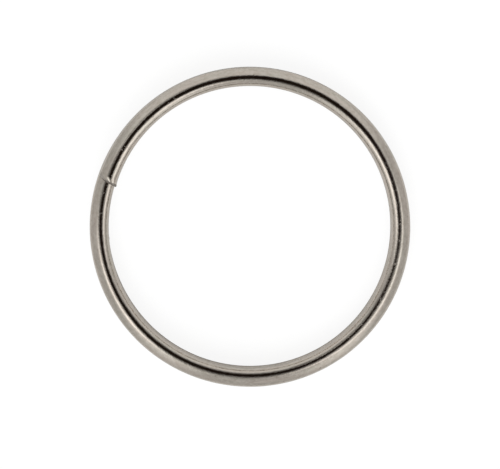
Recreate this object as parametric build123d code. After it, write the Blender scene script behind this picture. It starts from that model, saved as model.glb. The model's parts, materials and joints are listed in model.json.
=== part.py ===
from build123d import *
from math import cos, pi, radians, sin
import os

# Split ring: one length of round wire wound into a close coil of nearly two turns, so that
# each turn lies on the next all the way round. It lies as it comes to rest on flat ground:
# on its lower end, and on the wire across the ring from that end.
#
# Lengths are in millimetres. Angles are in degrees, anticlockwise from +X as seen from
# above. The origin is on the ground, under the middle of the ring.

# Coil
outer_diameter = 32.0
wire_diameter = 1.9
turn_gap = 0.05

# Where the wire stops, below and above
lower_end_angle = 185.0
upper_end_angle = 162.5

# How far each end has sprung from the round, and over what part of the turn
lower_end_spring_out = 0.10
lower_spring_span = 40.0
upper_end_spring_in = 0.15
upper_spring_span = 60.0

# Sheared end: a flat face, slanted to reach further on the inside of the ring
shear_slant = 11.5
shear_edge_radius = 0.08

# Rim rolled over by the shear: a second slant, past the first one on the centre line, with
# a well rounded edge that is widest at the outside of the ring
roll_slant = 26.0
roll_lead = 0.12
roll_edge_radius = 0.30

# Angle wound by each arc of the centre line, and wire to spare at each end
arc_angle = 30.0
spare_length = 2.8

# Values that follow
wire_radius = wire_diameter / 2
coil_radius = outer_diameter / 2 - wire_radius
pitch = wire_diameter + turn_gap
wound_angle = 720.0 - (lower_end_angle - upper_end_angle)
spare_angle = spare_length / coil_radius * 180.0 / pi
climb = pitch / (2 * pi * coil_radius)


def spring(angle_to_end, span, amount):
    """How far the wire has moved: nothing up to the span, then growing as a square."""
    share = max(0.0, 1.0 - angle_to_end / span)
    return amount * share**2


def outward(turned):
    """Level direction from the middle of the ring, at an angle wound from the lower end."""
    angle = radians(lower_end_angle + turned)
    return Vector(cos(angle), sin(angle), 0)


def centre_line_point(turned):
    """Point on the wire's centre line, at an angle wound from the lower end."""
    radius = coil_radius
    radius += spring(turned, lower_spring_span, lower_end_spring_out)
    radius -= spring(wound_angle - turned, upper_spring_span, upper_end_spring_in)
    height = wire_radius + pitch * turned / 360.0
    return outward(turned) * radius + Vector(0, 0, height)


def centre_line():
    """The wire's centre line, as arcs that each run on from the last, with wire to spare."""
    whole_angle = wound_angle + 2 * spare_angle
    arc_count = round(whole_angle / arc_angle)
    turned = [whole_angle * index / arc_count - spare_angle for index in range(arc_count + 1)]
    way = centre_line_point(turned[0] + 1) - centre_line_point(turned[0] - 1)
    arcs = []
    for start, end in zip(turned, turned[1:]):
        arc = TangentArc(centre_line_point(start), centre_line_point(end), tangent=way)
        way = arc % 1
        arcs.append(arc)
    return Wire(arcs)


def wound_wire():
    """The round coil, with wire to spare past each end."""
    path = centre_line()
    section = Plane(origin=path @ 0, z_dir=path % 0) * Circle(wire_radius)
    return sweep(section, path=path)


def end_axes(turned, onward):
    """Axes at an end of the wire: X along it and out of the end, Y to the ring's outside."""
    across = outward(turned)
    out_of_end = (Vector(0, 0, 1).cross(across) + Vector(0, 0, climb)) * onward
    return Plane(
        origin=centre_line_point(turned),
        x_dir=out_of_end,
        z_dir=out_of_end.cross(across),
    )


def shear(wire, lead, slant, edge_radius):
    """Cut both ends of the wire to a slanted face, and round the edges of the two faces."""
    spare_wire = Box(
        2 * spare_length,
        4 * wire_diameter,
        pitch,
        align=(Align.MIN, Align.CENTER, Align.CENTER),
    )
    face_places = [
        end_axes(turned, onward) * Pos(lead, 0, 0) * Rot(0, 0, slant)
        for turned, onward in ((0.0, -1), (wound_angle, 1))
    ]
    for place in face_places:
        wire -= place * spare_wire
    flat_faces = wire.faces().filter_by(GeomType.PLANE)
    cut_faces = [flat_faces.sort_by_distance(place.position)[0] for place in face_places]
    return fillet([edge for face in cut_faces for edge in face.edges()], edge_radius)


def ground_plane():
    """The plane that the coil comes to rest on.

    It touches the underside at the lower end, and across the ring, half a pitch higher,
    where it also follows the climb of the wire.
    """
    far_side = outward(180.0)
    far_way = Vector(0, 0, 1).cross(far_side)
    normal = Vector(0, 0, 1) - far_side * (pitch / 4 / coil_radius) - far_way * climb
    return Plane(origin=(0, 0, pitch / 4), x_dir=Vector(0, 1, 0).cross(normal), z_dir=normal)


def split_ring():
    """The whole ring, lying on the ground."""
    wire = wound_wire()
    wire = shear(wire, roll_lead, roll_slant, roll_edge_radius)
    wire = shear(wire, 0.0, shear_slant, shear_edge_radius)
    lying_wire = ground_plane().location.inverse() * wire
    return Pos(0, 0, -lying_wire.bounding_box().min.Z) * lying_wire


os.makedirs("parts", exist_ok=True)
export_step(split_ring(), "parts/split_ring.step")
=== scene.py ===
import json
from math import cos, pi, radians, sin, tan

import bpy
from mathutils import Matrix, Vector

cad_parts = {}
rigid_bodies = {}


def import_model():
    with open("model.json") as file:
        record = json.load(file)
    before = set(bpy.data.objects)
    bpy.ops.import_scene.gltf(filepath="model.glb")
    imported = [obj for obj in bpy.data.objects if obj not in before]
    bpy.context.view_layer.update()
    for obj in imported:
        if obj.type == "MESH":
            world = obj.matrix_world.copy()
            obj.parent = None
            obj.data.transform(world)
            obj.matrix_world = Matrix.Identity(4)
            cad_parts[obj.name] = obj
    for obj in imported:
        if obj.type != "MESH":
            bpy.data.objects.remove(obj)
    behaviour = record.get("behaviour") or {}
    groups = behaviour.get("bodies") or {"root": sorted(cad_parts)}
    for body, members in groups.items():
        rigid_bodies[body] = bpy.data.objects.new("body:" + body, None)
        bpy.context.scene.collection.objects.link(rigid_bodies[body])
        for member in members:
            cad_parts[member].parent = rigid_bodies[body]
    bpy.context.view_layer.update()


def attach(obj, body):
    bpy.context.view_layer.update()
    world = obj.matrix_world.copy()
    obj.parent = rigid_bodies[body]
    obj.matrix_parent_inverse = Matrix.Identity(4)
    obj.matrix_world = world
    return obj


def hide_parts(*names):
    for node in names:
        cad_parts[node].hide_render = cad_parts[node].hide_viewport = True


# A split ring: one drawn wire, sheared at both ends and wound into a close coil of nearly
# two turns. Lengths are in millimetres and are turned to metres by mm(). Angles are in
# degrees, anticlockwise from +X as seen from above. Colours are red, green and blue.

# The coil, as the solid has it
outer_diameter = 32.0
wire_diameter = 1.9
turn_gap = 0.05
lower_end_angle = 185.0
upper_end_angle = 162.5
lower_end_spring_out = 0.10
lower_spring_span = 40.0
upper_end_spring_in = 0.15
upper_spring_span = 60.0

# The sheared ends. Before the wire parted, its last stretch was pressed in: most on the
# outside of the ring, and a little on top and underneath. On the inside it bulged.
shear_slant = 11.5
press_length = 0.72
pressed_in_outside = 0.34
pressed_in_inside = -0.06
pressed_in_top = 0.03

# The blade squeezed the wire on its upper outer side: by what share of its thickness at the
# cut, and how far that side is from straight up
blade_press = 0.17
blade_side_angle = 46.0

# The cut's rounded edge, the torn face inside it, and how many rings of faces are bare steel,
# whose dark colour is partly painted shade in the seam
shear_edge_radius = 0.15
torn_rim_width = 0.10
torn_dish_depth = 0.03
bare_shaded_rings = 8

# How finely the wire is divided, and its path is drawn and measured
sides_round_wire = 72
lengthwise_cuts = 22
press_steps = 12
edge_steps = 5
path_step_angle = 10.0
path_spare_angle = 10.0
path_resolution = 24
measured_lengths_per_degree = 2
smooth_up_to_angle = 35.0

# A face looks a given way when its normal has more than this share of it
facing_share = 0.9

# Values that follow
wire_radius = wire_diameter / 2
coil_radius = outer_diameter / 2 - wire_radius
pitch = wire_diameter + turn_gap
wound_angle = 720.0 - (lower_end_angle - upper_end_angle)
climb = pitch / (2 * pi * coil_radius)


def mm(length):
    """A length in millimetres, or a point, as metres."""
    if isinstance(length, (int, float)):
        return length / 1000
    return Vector(length) / 1000


# ---------------------------------------------------------------- the winding


def spring(angle_to_end, span, amount):
    """How far the wire has moved: nothing up to the span, then growing as a square."""
    share = max(0.0, 1.0 - angle_to_end / span)
    return amount * share**2


def coil_point(turned):
    """Point on the wire's centre line, at an angle wound from the lower end."""
    angle = radians(lower_end_angle + turned)
    radius = coil_radius
    radius += spring(turned, lower_spring_span, lower_end_spring_out)
    radius -= spring(wound_angle - turned, upper_spring_span, upper_end_spring_in)
    height = wire_radius + pitch * turned / 360.0
    return Vector((radius * cos(angle), radius * sin(angle), height))


def coil_way(turned):
    """Direction of the wire there, per degree wound."""
    return coil_point(turned + 0.5) - coil_point(turned - 0.5)


def coil_length(start, end):
    """Length of the wire between two angles wound."""
    steps = round(abs(end - start) * measured_lengths_per_degree) + 1
    points = [coil_point(start + (end - start) * step / steps) for step in range(steps + 1)]
    return sum((b - a).length for a, b in zip(points, points[1:]))


wire_length = coil_length(0.0, wound_angle)


# ---------------------------------------------------------------- working with pieces


def work_on(piece):
    """Deselect everything, then take up one piece."""
    bpy.ops.object.select_all(action="DESELECT")
    piece.select_set(True)
    bpy.context.view_layer.objects.active = piece


def select_facing(piece, way):
    """In edit mode, select just the faces that look a given way."""
    bpy.ops.mesh.select_all(action="DESELECT")
    bpy.ops.object.mode_set(mode="OBJECT")
    for face in piece.data.polygons:
        face.select = face.normal.dot(way) > facing_share
    bpy.ops.object.mode_set(mode="EDIT")


def select_long_edges(piece, limit):
    """In edit mode, select just the edges that are longer than a limit."""
    bpy.ops.mesh.select_mode(type="EDGE")
    bpy.ops.mesh.select_all(action="DESELECT")
    bpy.ops.object.mode_set(mode="OBJECT")
    corners = piece.data.vertices
    for edge in piece.data.edges:
        start, end = (corners[index].co for index in edge.vertices)
        edge.select = (end - start).length > limit
    bpy.ops.object.mode_set(mode="EDIT")


# ---------------------------------------------------------------- the wire


def straight_wire(length):
    """A round bar along +X with a face at each end, short of where its ends are pressed in."""
    bpy.ops.object.select_all(action="DESELECT")
    bpy.ops.mesh.primitive_cylinder_add(
        vertices=sides_round_wire,
        radius=mm(wire_radius),
        depth=mm(length - 2 * press_length),
        end_fill_type="NGON",
        location=mm((length / 2, 0, 0)),
        rotation=(0, radians(90), 0),
    )
    wire = bpy.context.active_object
    bpy.ops.object.transform_apply(location=True, rotation=True, scale=True)
    wire.name = wire.data.name = "wound_wire"
    return wire


def press_stages():
    """How far each section of a pressed end is back from the cut, and its edge rounded in."""
    stages = []
    for step in range(1, press_steps + 1):
        back = press_length + (shear_edge_radius - press_length) * step / press_steps
        stages.append((back, 0.0))
    for step in range(1, edge_steps + 1):
        angle = radians(90.0 * step / edge_steps)
        back = shear_edge_radius * (1 - sin(angle))
        stages.append((back, shear_edge_radius * (1 - cos(angle))))
    return stages


def pressed_section(back, rounding):
    """The section at a distance back from the cut.

    It is given by its slant, its shift towards the inside of the ring, half its width and
    half its height, and the share of its thickness that the blade left.
    """
    share = 1.0 - back / press_length
    outside = pressed_in_outside * share**2 + rounding
    inside = pressed_in_inside * share**2 + rounding
    top = pressed_in_top * share**2 + rounding
    return (
        shear_slant * share,
        (outside - inside) / 2,
        wire_radius - (outside + inside) / 2,
        wire_radius - top,
        1.0 - blade_press * share**2,
    )


def draw_out(middle, old, new, out_of_end, forward):
    """Extrude the selected end face to its next section, and return its new middle."""
    old_slant, old_shift, old_width, old_height, old_left = old
    slant, shift, width, height, left = new
    move = (out_of_end * forward, shift - old_shift, 0)
    middle = middle + Vector(move)
    bpy.ops.mesh.extrude_region_move(TRANSFORM_OT_translate={"value": mm(move)})
    bpy.ops.transform.resize(
        value=(width / old_width, width / old_width, height / old_height),
        center_override=mm(middle),
    )
    bpy.ops.transform.rotate(
        value=radians(slant - old_slant) * out_of_end,
        orient_axis="Z",
        center_override=mm(middle),
    )
    lean = radians(blade_side_angle)
    toward_blade = Vector((0, -sin(lean), cos(lean)))
    along = Vector((1, 0, 0))
    bpy.ops.transform.resize(
        value=(1, 1, left / old_left),
        orient_type="GLOBAL",
        orient_matrix=(along, toward_blade.cross(along), toward_blade),
        orient_matrix_type="GLOBAL",
        center_override=mm(middle - toward_blade * wire_radius),
    )
    return middle


def press_end(wire, place, out_of_end):
    """Shape one end: pressed in towards the cut, rounded at its edge, torn hollow and bare;
    the bare steel is dark partly as painted shade.
    """
    select_facing(wire, Vector((out_of_end, 0, 0)))
    middle = Vector((place - out_of_end * press_length, 0, 0))
    old_back, old = press_length, pressed_section(press_length, 0.0)
    for back, rounding in press_stages():
        new = pressed_section(back, rounding)
        middle = draw_out(middle, old, new, out_of_end, old_back - back)
        old_back, old = back, new
    bpy.ops.mesh.inset(thickness=mm(torn_rim_width), depth=-mm(torn_dish_depth))
    # Bare steel on these rings back from the cut, dark partly as painted shade in the seam
    for ring_of_faces in range(bare_shaded_rings):
        bpy.ops.mesh.select_more()
    bpy.ops.object.material_slot_assign()


def sheared_wire(length):
    """The straight wire with both ends sheared, divided for winding."""
    wire = straight_wire(length)
    wire.data.materials.append(nickel_plate())
    wire.data.materials.append(shaded_sheared_steel())
    wire.active_material_index = 1
    bpy.ops.object.mode_set(mode="EDIT")
    bpy.ops.mesh.select_mode(type="FACE")
    press_end(wire, 0.0, -1)
    press_end(wire, length, 1)
    # The long edges are cut first, and then the edges that this makes of them
    for limit in (length / 2, length / lengthwise_cuts / 2):
        select_long_edges(wire, mm(limit))
        bpy.ops.mesh.subdivide(number_cuts=lengthwise_cuts)
    bpy.ops.object.mode_set(mode="OBJECT")
    note_places(wire)
    return wire


def note_places(wire):
    """Keep where each point is on the straight wire, for patterns that follow the drawing."""
    places = wire.data.attributes.new("place_on_wire", "FLOAT_VECTOR", "POINT")
    for corner, place in zip(wire.data.vertices, places.data):
        place.vector = corner.co


def coil_path():
    """The line that the wire is wound along, with some to spare before and after."""
    first, last = -path_spare_angle, wound_angle + path_spare_angle
    count = round((last - first) / path_step_angle)
    step = (last - first) / count
    bpy.ops.object.select_all(action="DESELECT")
    bpy.ops.curve.primitive_bezier_curve_add()
    path = bpy.context.active_object
    path.data.dimensions = "3D"
    path.data.twist_mode = "Z_UP"
    path.data.resolution_u = path_resolution
    line = path.data.splines[0]
    line.bezier_points.add(count + 1 - len(line.bezier_points))
    # With handles this long, the line follows an arc from each knot to the next
    reach = 4 / 3 * tan(radians(step) / 4) / radians(1)
    for index, knot in enumerate(line.bezier_points):
        turned = first + step * index
        knot.handle_left_type = knot.handle_right_type = "FREE"
        knot.co = mm(coil_point(turned))
        knot.handle_left = mm(coil_point(turned) - coil_way(turned) * reach)
        knot.handle_right = mm(coil_point(turned) + coil_way(turned) * reach)
    return path


def wind(wire, path):
    """Bend the straight wire along the path, which it joins past the part to spare."""
    work_on(wire)
    wire.location.x = mm(coil_length(-path_spare_angle, 0.0))
    bpy.ops.object.transform_apply(location=True)
    winding = wire.modifiers.new("winding", "CURVE")
    winding.object = path
    winding.deform_axis = "POS_X"
    bpy.ops.object.modifier_apply(modifier=winding.name)
    bpy.data.objects.remove(path)


def lay_down(wire):
    """Lean the coil as it comes to rest.

    It lies on its lower end, and on the wire across from that end, which is half a pitch
    higher on the coil and also climbs.
    """
    far = radians(lower_end_angle + 180.0)
    far_side = Vector((cos(far), sin(far), 0))
    far_way = Vector((0, 0, 1)).cross(far_side)
    up = Vector((0, 0, 1)) - far_side * (pitch / 4 / coil_radius) - far_way * climb
    up.normalize()
    right = Vector((0, 1, 0)).cross(up).normalized()
    lean = Matrix((right, up.cross(right), up)).to_4x4()
    work_on(wire)
    wire.matrix_world = lean @ Matrix.Translation(mm((0, 0, -pitch / 4)))
    bpy.ops.object.transform_apply(location=True, rotation=True)
    wire.location.z = -min(corner.co.z for corner in wire.data.vertices)
    bpy.ops.object.transform_apply(location=True)


# ---------------------------------------------------------------- materials

# Noise in the metal: its waves per metre along the wire and each way across it, how many
# finer layers it has, and how strong each of them is next to the one before
slow_waves = ((900, 1700, 1700), 2.0, 0.5)
shear_tears = ((9000, 9000, 1500), 3.0, 0.6)

# Patterns in the metal: noise as above, and the levels at which it starts to show and at
# which it shows fully. Scuffs show only in the scuffed parts.
surface_patterns = {
    "Streaks": ((190, 2700, 2700), 3.0, 0.5, 0.36, 0.64),
    "Lines": ((500, 16000, 16000), 4.0, 0.6, 0.32, 0.68),
    "Stains": ((700, 1500, 1500), 3.0, 0.55, 0.38, 0.66),
    "Mottling": ((2400, 3800, 3800), 3.0, 0.6, 0.34, 0.66),
    "Pits": ((2300, 3600, 3600), 2.0, 0.5, 0.735, 0.775),
    "Scuffs": ((3300, 2900, 2900), 3.0, 0.6, 0.60, 0.68),
}
scuffed_parts = ((65, 200, 200), 1.0, 0.5, 0.44, 0.60)

# Nickel plate: its colour outside the streaks and in them. Then, for each other pattern, how
# much of its own colour it brings where it doesn't show and where it shows fully. Then the
# roughness outside the drawing lines and in them, what a scuff adds to it, and how deep the
# patterns are.
nickel_colours = ((0.70, 0.615, 0.535), (0.57, 0.535, 0.455))
nickel_tones = (
    ("Stains", 0.0, 0.6, (0.56, 0.49, 0.425)),
    ("Lines", 0.22, 0.0, (0.40, 0.36, 0.31)),
    ("Mottling", 0.0, 0.42, (0.86, 0.80, 0.73)),
    ("Pits", 0.0, 1.0, (0.30, 0.26, 0.22)),
)
nickel_roughness = (0.07, 0.13)
scuff_roughness = 0.30
nickel_bumps = (("Waves", 0.004), ("Mottling", 0.004), ("Lines", 0.0005))

# Painted shade on the plate near the cuts. It has its whole strength up to the first distance
# from a cut, and ends at the second. The slant is how much further back it goes for each
# millimetre towards the outside of the ring, and the raggedness is how far its border wanders.
# The painted shade turns the plate to its own dark colour, and adds to its roughness.
cut_shade_start = -0.05
cut_shade_reach = 0.32
cut_shade_slant = 0.75
cut_shade_raggedness = 0.12
cut_shade_strength = 0.85
painted_cut_shade = (0.30, 0.27, 0.24)
cut_shade_roughness = 0.35

# Sheared steel, dark partly as painted shade in the seam: its colour in the tears and between
# them, its stains, the tint of its sheen, which dims it as painted shade at grazing angles,
# the levels of noise that its roughness changes between, and how deep the tears are
steel_and_shade_colours = ((0.29, 0.265, 0.24), (0.45, 0.415, 0.375))
steel_stain = (0.27, 0.24, 0.21)
steel_sheen_and_shade_tint = (0.55, 0.52, 0.49)
tear_levels = (0.3, 0.7)
steel_roughness = (0.34, 0.50)
tear_depth = 0.010


def new_material(name):
    """A new material, and the tree of its nodes."""
    material = bpy.data.materials.new(name)
    material.use_nodes = True
    return material, material.node_tree


def put(tree, value, socket):
    """Give a socket a value, or what another node puts out."""
    if isinstance(value, bpy.types.NodeSocket):
        tree.links.new(value, socket)
    else:
        socket.default_value = value


def maths(tree, operation, *values):
    """What comes of numbers, each one plain or from another node."""
    node = tree.nodes.new("ShaderNodeMath")
    node.operation = operation
    for socket, value in zip(node.inputs, values):
        put(tree, value, socket)
    return node.outputs["Value"]


def vector_maths(tree, operation, *values, gives="Vector"):
    """What comes of places or directions, each one plain or from another node."""
    node = tree.nodes.new("ShaderNodeVectorMath")
    node.operation = operation
    for socket, value in zip(node.inputs, values):
        put(tree, value, socket)
    return node.outputs[gives]


def apart(tree, place):
    """The X, Y and Z of a place."""
    node = tree.nodes.new("ShaderNodeSeparateXYZ")
    put(tree, place, node.inputs["Vector"])
    return node.outputs


def noise(tree, place, waves, layers, layer_strength):
    """Noise over the places given, with its own number of waves per metre each way."""
    texture = tree.nodes.new("ShaderNodeTexNoise")
    texture.inputs["Scale"].default_value = 1.0
    texture.inputs["Detail"].default_value = layers
    texture.inputs["Roughness"].default_value = layer_strength
    put(tree, vector_maths(tree, "MULTIPLY", place, waves), texture.inputs["Vector"])
    return texture.outputs["Fac"]


def between(tree, value, low, high, to_low=0.0, to_high=1.0, way="LINEAR"):
    """A value taken from one range to another, and held inside it."""
    node = tree.nodes.new("ShaderNodeMapRange")
    node.interpolation_type = way
    node.inputs["From Min"].default_value = low
    node.inputs["From Max"].default_value = high
    node.inputs["To Min"].default_value = to_low
    node.inputs["To Max"].default_value = to_high
    put(tree, value, node.inputs["Value"])
    return node.outputs["Result"]


def blend(tree, share, first, second):
    """One colour turning into another as the share goes from 0 to 1."""
    node = tree.nodes.new("ShaderNodeMix")
    node.data_type = "RGBA"
    for name, colour in (("A", first), ("B", second)):
        if isinstance(colour, tuple):
            colour = (*colour, 1)
        put(tree, colour, node.inputs[name])
    put(tree, share, node.inputs["Factor"])
    return node.outputs["Result"]


def bump(tree, height, depth, below=None):
    """A bump of a given depth, on top of another one."""
    node = tree.nodes.new("ShaderNodeBump")
    node.inputs["Strength"].default_value = 1.0
    node.inputs["Distance"].default_value = mm(depth)
    put(tree, height, node.inputs["Height"])
    if below:
        put(tree, below, node.inputs["Normal"])
    return node.outputs["Normal"]


def pattern(tree, place, waves, layers, layer_strength, starts, full):
    """Noise that shows from one level on, and fully from another."""
    return between(tree, noise(tree, place, waves, layers, layer_strength), starts, full)


def wire_surface_group():
    """A node group: where the metal is streaked, lined, stained and pitted along the wire."""
    group = bpy.data.node_groups.new("wire_surface", "ShaderNodeTree")
    group.interface.new_socket(name="Place", in_out="INPUT", socket_type="NodeSocketVector")
    for name in (*surface_patterns, "Waves"):
        group.interface.new_socket(name=name, in_out="OUTPUT", socket_type="NodeSocketFloat")
    place = group.nodes.new("NodeGroupInput").outputs["Place"]
    made = {name: pattern(group, place, *values) for name, values in surface_patterns.items()}
    in_parts = pattern(group, place, *scuffed_parts)
    made["Scuffs"] = maths(group, "MULTIPLY", made["Scuffs"], in_parts)
    made["Waves"] = noise(group, place, *slow_waves)
    given_out = group.nodes.new("NodeGroupOutput").inputs
    for name, value in made.items():
        put(group, value, given_out[name])
    return group


def place_on_wire(tree):
    """Where each point is on the straight wire."""
    place = tree.nodes.new("ShaderNodeAttribute")
    place.attribute_name = "place_on_wire"
    return place.outputs["Vector"]


def wire_surface(tree, place):
    """The patterns that both materials share."""
    surface = tree.nodes.new("ShaderNodeGroup")
    surface.node_tree = bpy.data.node_groups.get("wire_surface") or wire_surface_group()
    put(tree, place, surface.inputs["Place"])
    return surface.outputs


def painted_cut_shade_share(tree, place, ragged):
    """How much painted shade darkens the plate near a cut."""
    on_wire = apart(tree, place)
    to_far_end = maths(tree, "SUBTRACT", mm(wire_length), on_wire["X"])
    from_cut = maths(tree, "MINIMUM", on_wire["X"], to_far_end)
    from_cut = maths(tree, "MULTIPLY_ADD", on_wire["Y"], cut_shade_slant, from_cut)
    from_cut = maths(tree, "MULTIPLY_ADD", ragged, mm(cut_shade_raggedness), from_cut)
    return between(
        tree, from_cut, mm(cut_shade_start), mm(cut_shade_reach), cut_shade_strength, 0.0
    )


def nickel_plate():
    """Bright nickel on drawn wire, with soft streaks and fine lines along it."""
    material, tree = new_material("nickel_plate")
    shader = tree.nodes["Principled BSDF"]
    place = place_on_wire(tree)
    surface = wire_surface(tree, place)
    colour = blend(tree, surface["Streaks"], *nickel_colours)
    for name, hidden_share, full_share, tone in nickel_tones:
        share = between(tree, surface[name], 0.0, 1.0, hidden_share, full_share)
        colour = blend(tree, share, colour, tone)
    # Painted shade near the cuts: a darker colour, and more roughness
    shade_near_cut = painted_cut_shade_share(tree, place, surface["Streaks"])
    put(tree, blend(tree, shade_near_cut, colour, painted_cut_shade), shader.inputs["Base Color"])
    shader.inputs["Metallic"].default_value = 1.0
    roughness = between(tree, surface["Lines"], 0.0, 1.0, *nickel_roughness)
    roughness = maths(tree, "MULTIPLY_ADD", surface["Scuffs"], scuff_roughness, roughness)
    roughness = maths(tree, "MULTIPLY_ADD", shade_near_cut, cut_shade_roughness, roughness)
    put(tree, roughness, shader.inputs["Roughness"])
    normal = None
    for name, depth in nickel_bumps:
        normal = bump(tree, surface[name], depth, normal)
    put(tree, normal, shader.inputs["Normal"])
    return material


def shaded_sheared_steel():
    """The dull grey steel of a sheared end, torn in fine lines, and dark partly as painted
    shade in the seam.
    """
    material, tree = new_material("shaded_sheared_steel")
    shader = tree.nodes["Principled BSDF"]
    place = place_on_wire(tree)
    tears = noise(tree, place, *shear_tears)
    colour = blend(tree, tears, *steel_and_shade_colours)
    colour = blend(tree, wire_surface(tree, place)["Stains"], colour, steel_stain)
    put(tree, colour, shader.inputs["Base Color"])
    shader.inputs["Metallic"].default_value = 1.0
    # This tint dims the steel's sheen at grazing angles, as painted shade in the seam
    shader.inputs["Specular Tint"].default_value = (*steel_sheen_and_shade_tint, 1)
    roughness = between(tree, tears, *tear_levels, *steel_roughness)
    put(tree, roughness, shader.inputs["Roughness"])
    put(tree, bump(tree, tears, tear_depth), shader.inputs["Normal"])
    return material


# ---------------------------------------------------------------- the studio

# The floor, and how much of plain white the camera and the metal see in its place
floor_half_width = 3000.0
floor_grey = 0.66
floor_roughness = 0.8
floor_white_glow = 1.16
white_share_for_camera = 0.75
white_share_for_metal = 0.05

# The tent round the ring. The opening over the ring is dark and has a warm tint, which fades
# out as the tent gets as bright as the last of these levels.
tent_sides = 96
tent_radius = 24.0
tent_height = 45.0
tent_base_level = 0.494
tent_opening_middle = (3.4, 8.3)
tent_opening_half_size = (28.9, 24.3)
tent_opening_half_height = 19.4
tent_opening_softness = 0.58
tent_opening_colour = (1.0, 0.62, 0.42)
tent_opening_level = 0.012
tent_white_level = 0.072

# Each soft light on the tent: its azimuth and height, half its width in degrees and half its
# height, how soft its edge is, and how much it adds
tent_lights = (
    (203.0, 49.0, 27.0, 21.0, 0.82, 1.48),
    (234.0, 32.0, 18.0, 24.0, 0.51, 0.34),
    (339.0, 53.0, 52.0, 34.0, 0.26, 1.02),
    (306.0, 14.0, 14.0, 9.0, 0.91, 0.41),
    (87.0, 56.0, 75.0, 65.0, 0.11, 0.19),
    (125.0, 49.0, 33.0, 5.0, 0.27, 2.86),
    (234.0, 66.0, 8.0, 14.0, 0.43, 0.19),
    (139.0, 63.0, 28.0, 10.0, 0.44, 0.12),
)

# The lamp, with its energy in watts, and how bright the white surround is to look at and as
# a light on dull surfaces
lamp_place = (-50.0, -400.0, 850.0)
lamp_size = 600.0
lamp_energy = 5.0
surround_seen = 1.0
surround_light = 0.5

# The camera: how far it leans from straight above and which way, how far it is from the top
# of the ring and how wide the picture is there, and how far the ring's middle lies to the
# right of the picture's middle and above it
view_lean = 5.07
view_lean_azimuth = 75.2
camera_distance = 328.2
picture_width = 49.868
sensor_width = 36.0
ring_top_height = 3.2
ring_right_of_middle = -0.042
ring_above_middle = 0.901


def floor():
    """A plain pale floor, which the camera sees as white and which keeps the shadow."""
    bpy.ops.object.select_all(action="DESELECT")
    bpy.ops.mesh.primitive_plane_add(size=2 * mm(floor_half_width))
    sheet = bpy.context.active_object
    sheet.name = "floor"
    material, tree = new_material("pale_floor")
    shader = tree.nodes["Principled BSDF"]
    shader.inputs["Base Color"].default_value = (floor_grey, floor_grey, floor_grey, 1)
    shader.inputs["Roughness"].default_value = floor_roughness
    shader.inputs["Specular IOR Level"].default_value = 0.0
    glow = tree.nodes.new("ShaderNodeEmission")
    glow.inputs["Strength"].default_value = floor_white_glow
    ray = tree.nodes.new("ShaderNodeLightPath")
    white_share = 0.0
    for seen_by, share in (
        ("Is Camera Ray", white_share_for_camera),
        ("Is Glossy Ray", white_share_for_metal),
        ("Is Transmission Ray", white_share_for_metal),
    ):
        white_share = maths(tree, "MULTIPLY_ADD", ray.outputs[seen_by], share, white_share)
    mix = tree.nodes.new("ShaderNodeMixShader")
    put(tree, white_share, mix.inputs["Fac"])
    put(tree, shader.outputs["BSDF"], mix.inputs[1])
    put(tree, glow.outputs["Emission"], mix.inputs[2])
    put(tree, mix.outputs["Shader"], tree.nodes["Material Output"].inputs["Surface"])
    sheet.data.materials.append(material)


def soft_light(tree, level_way, height, light):
    """How much one soft light adds at each place on the tent."""
    azimuth, middle_height, half_angle, half_height, softness, brightness = light
    way = radians(azimuth)
    toward = (cos(way), sin(way), 0)
    cosine = vector_maths(tree, "DOT_PRODUCT", level_way, toward, gives="Value")
    across = maths(tree, "DIVIDE", maths(tree, "ARCCOSINE", cosine), radians(half_angle))
    rise = maths(tree, "SUBTRACT", height, mm(middle_height))
    up = maths(tree, "DIVIDE", rise, mm(half_height))
    squares = [maths(tree, "MULTIPLY", share, share) for share in (across, up)]
    reach = maths(tree, "SQRT", maths(tree, "ADD", *squares))
    return between(
        tree, reach, 1.0 + softness, 1.0 - softness, 0.0, brightness, way="SMOOTHSTEP"
    )


def cloth_share(tree, place):
    """1 on the tent's cloth and 0 in the dark opening over the ring."""
    opening_middle = mm((*tent_opening_middle, tent_height))
    opening_half_size = mm((*tent_opening_half_size, tent_opening_half_height))
    near = vector_maths(tree, "SUBTRACT", place, opening_middle)
    sized = vector_maths(tree, "DIVIDE", near, opening_half_size)
    reach = vector_maths(tree, "LENGTH", sized, gives="Value")
    soft = tent_opening_softness
    return between(tree, reach, 1.0 - soft, 1.0 + soft, way="SMOOTHSTEP")


def tent_cloth():
    """White cloth with soft lights on it, and a dark opening."""
    material, tree = new_material("tent_cloth")
    tree.nodes.remove(tree.nodes["Principled BSDF"])
    place = tree.nodes.new("ShaderNodeTexCoord").outputs["Object"]
    level_place = vector_maths(tree, "MULTIPLY", place, (1, 1, 0))
    level_way = vector_maths(tree, "NORMALIZE", level_place)
    height = apart(tree, place)["Z"]
    lit = tent_base_level
    for light in tent_lights:
        lit = maths(tree, "ADD", soft_light(tree, level_way, height, light), lit)
    level = maths(tree, "MULTIPLY_ADD", cloth_share(tree, place), lit, tent_opening_level)
    whiteness = between(tree, level, tent_opening_level, tent_white_level)
    glow = tree.nodes.new("ShaderNodeEmission")
    put(tree, level, glow.inputs["Strength"])
    put(tree, blend(tree, whiteness, tent_opening_colour, (1, 1, 1)), glow.inputs["Color"])
    put(tree, glow.outputs["Emission"], tree.nodes["Material Output"].inputs["Surface"])
    return material


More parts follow.
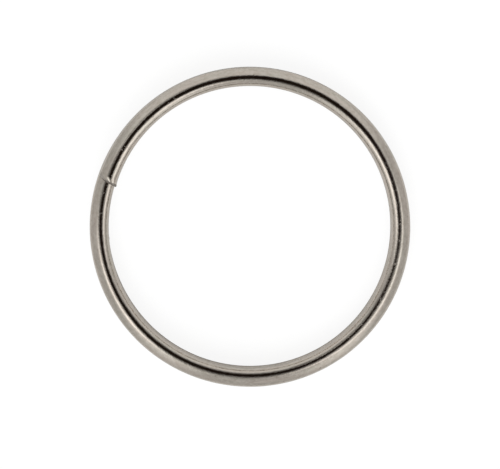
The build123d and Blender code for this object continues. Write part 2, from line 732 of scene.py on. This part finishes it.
def tent():
    """A white tent with an opening over the ring, lit from outside. Only metal sees it."""
    bpy.ops.object.select_all(action="DESELECT")
    bpy.ops.mesh.primitive_cylinder_add(
        vertices=tent_sides,
        radius=mm(tent_radius),
        depth=mm(tent_height),
        location=mm((0, 0, tent_height / 2)),
    )
    cloth = bpy.context.active_object
    bpy.ops.object.transform_apply(location=True)
    bpy.ops.object.mode_set(mode="EDIT")
    select_facing(cloth, Vector((0, 0, -1)))
    bpy.ops.mesh.delete(type="FACE")
    bpy.ops.object.mode_set(mode="OBJECT")
    cloth.name = "light_tent"
    cloth.data.materials.append(tent_cloth())
    cloth.visible_camera = cloth.visible_diffuse = cloth.visible_shadow = False


def lamp_and_surround():
    """Soft light from above, and a white surround."""
    bpy.ops.object.select_all(action="DESELECT")
    bpy.ops.object.light_add(type="AREA", location=mm(lamp_place))
    lamp = bpy.context.active_object
    lamp.name = "soft_lamp"
    lamp.data.size = mm(lamp_size)
    lamp.data.energy = lamp_energy
    lamp.rotation_euler = (-lamp.location).to_track_quat("-Z", "Y").to_euler()
    lamp.visible_glossy = False
    world = bpy.data.worlds.new("studio")
    bpy.context.scene.world = world
    world.use_nodes = True
    tree = world.node_tree
    light = tree.nodes["Background"]
    light.inputs["Color"].default_value = (1, 1, 1, 1)
    dull_ray = tree.nodes.new("ShaderNodeLightPath").outputs["Is Diffuse Ray"]
    level = between(tree, dull_ray, 0.0, 1.0, surround_seen, surround_light)
    put(tree, level, light.inputs["Strength"])


def camera():
    """Far above the ring, leaned a little from straight above, with a long lens."""
    lean, way = tan(radians(view_lean)), radians(view_lean_azimuth)
    back = Vector((lean * cos(way), lean * sin(way), 1)).normalized()
    right = Vector((0, 1, 0)).cross(back).normalized()
    up = back.cross(right)
    aim = back * ring_top_height - right * ring_right_of_middle - up * ring_above_middle
    turn = Matrix((right, up, back)).transposed().to_4x4()
    bpy.ops.object.select_all(action="DESELECT")
    bpy.ops.object.camera_add()
    eye = bpy.context.active_object
    eye.matrix_world = Matrix.Translation(mm(aim + back * camera_distance)) @ turn
    eye.data.sensor_width = sensor_width
    eye.data.lens = sensor_width * camera_distance / picture_width
    bpy.context.scene.camera = eye


# ---------------------------------------------------------------- the whole

bpy.ops.object.select_all(action="SELECT")
bpy.ops.object.delete()
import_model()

ring = sheared_wire(wire_length)
wind(ring, coil_path())
lay_down(ring)
work_on(ring)
bpy.ops.object.shade_smooth_by_angle(angle=radians(smooth_up_to_angle))
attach(ring, "root")
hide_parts("split_ring")

floor()
tent()
lamp_and_surround()
camera()
bpy.context.scene.view_settings.view_transform = "Standard"
